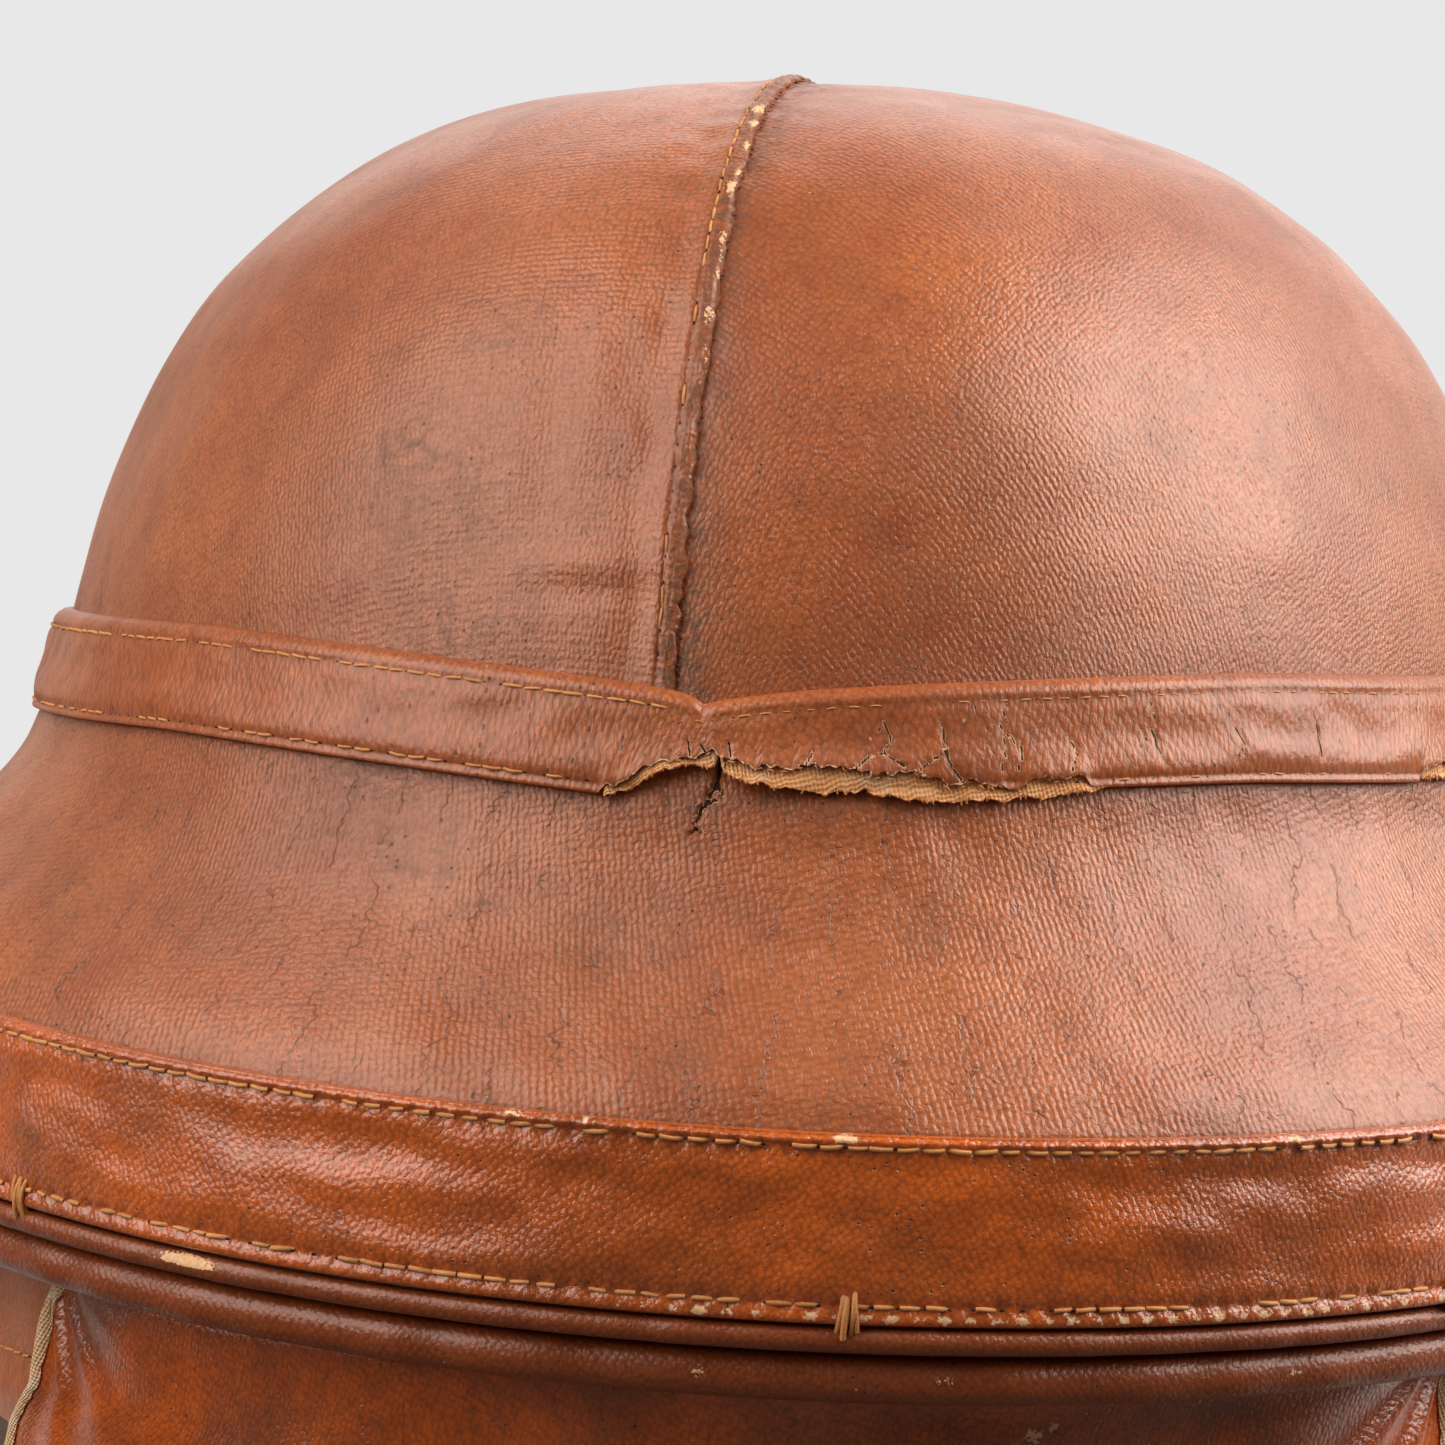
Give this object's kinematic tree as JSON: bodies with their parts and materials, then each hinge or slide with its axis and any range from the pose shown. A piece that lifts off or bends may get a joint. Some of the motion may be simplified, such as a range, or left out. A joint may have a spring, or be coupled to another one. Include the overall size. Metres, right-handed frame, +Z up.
{
  "type": "flying helmet",
  "caption": "Padded early flying helmet: cork crown and sloping brim under brown leathercloth, with neck curtain, folding ear flaps and a buckled chin strap.",
  "frame": {"origin": "centre of the head opening, at the lower edge of the sweatband", "axes": "+Z up towards the crown, +X the wearer's left, -Y the way the wearer faces, so +Y is the back"},
  "size_m": [0.2656, 0.3046, 0.3789],
  "materials": {
    "leathercloth": "satin, worn, with the canvas weave showing through",
    "glossy_leathercloth": "glossy, creased",
    "cork": "matt",
    "felt": "matt",
    "sateen": "soft, aged cream",
    "hide": "satin",
    "brass": "dull"
  },
  "bodies": {
    "helmet": {"cork_shell": "cork", "crown_cover_left": "leathercloth", "crown_cover_right": "leathercloth", "hat_band": "leathercloth", "brim_core": "cork", "brim_cover": "leathercloth", "hem_band": "glossy_leathercloth", "hem_binding": "glossy_leathercloth", "under_brim_facing": "glossy_leathercloth", "sweatband": "hide", "headband_pad": "felt", "crown_lining": "sateen", "crown_pad": "sateen", "neck_curtain": "glossy_leathercloth", "neck_curtain_lining": "sateen", "side_yoke_left": "glossy_leathercloth", "side_yoke_right": "glossy_leathercloth", "side_yoke_lining_left": "sateen", "side_yoke_lining_right": "sateen"},
    "flap_left": {"ear_flap_left": "leathercloth", "ear_flap_lining_left": "sateen", "strap_anchor_left": "hide"},
    "flap_right": {"ear_flap_right": "leathercloth", "ear_flap_lining_right": "sateen", "strap_anchor_right": "hide"},
    "strap_long": {"chin_strap": "hide"},
    "strap_short": {"buckle_strap": "hide", "strap_keeper": "hide"},
    "buckle": {"buckle_frame": "brass"},
    "prong": {"buckle_prong": "brass"}
  },
  "joints": [
    {"name": "ear_flap_left_fold", "type": "hinge", "parent": "helmet", "child": "flap_left", "pos_m": [0.1135, -0.008, -0.0503], "axis": [0, -1, 0], "range_deg": [0, 85]},
    {"name": "ear_flap_right_fold", "type": "hinge", "parent": "helmet", "child": "flap_right", "pos_m": [-0.1135, -0.008, -0.0503], "axis": [0, 1, 0], "range_deg": [0, 85]},
    {"name": "chin_strap_swing", "type": "hinge", "parent": "flap_right", "child": "strap_long", "pos_m": [-0.1148, -0.008, -0.1136], "axis": [0, 1, 0], "range_deg": [-80, 30]},
    {"name": "buckle_strap_swing", "type": "hinge", "parent": "flap_left", "child": "strap_short", "pos_m": [0.1148, -0.008, -0.1136], "axis": [0, -1, 0], "range_deg": [-80, 30]},
    {"name": "buckle_frame_turn", "type": "hinge", "parent": "strap_short", "child": "buckle", "pos_m": [0.112, -0.008, -0.1586], "axis": [0, -1, 0], "range_deg": [-45, 45]},
    {"name": "buckle_prong_turn", "type": "hinge", "parent": "buckle", "child": "prong", "pos_m": [0.112, -0.008, -0.1586], "axis": [0, -1, 0], "range_deg": [0, 75]}
  ]
}
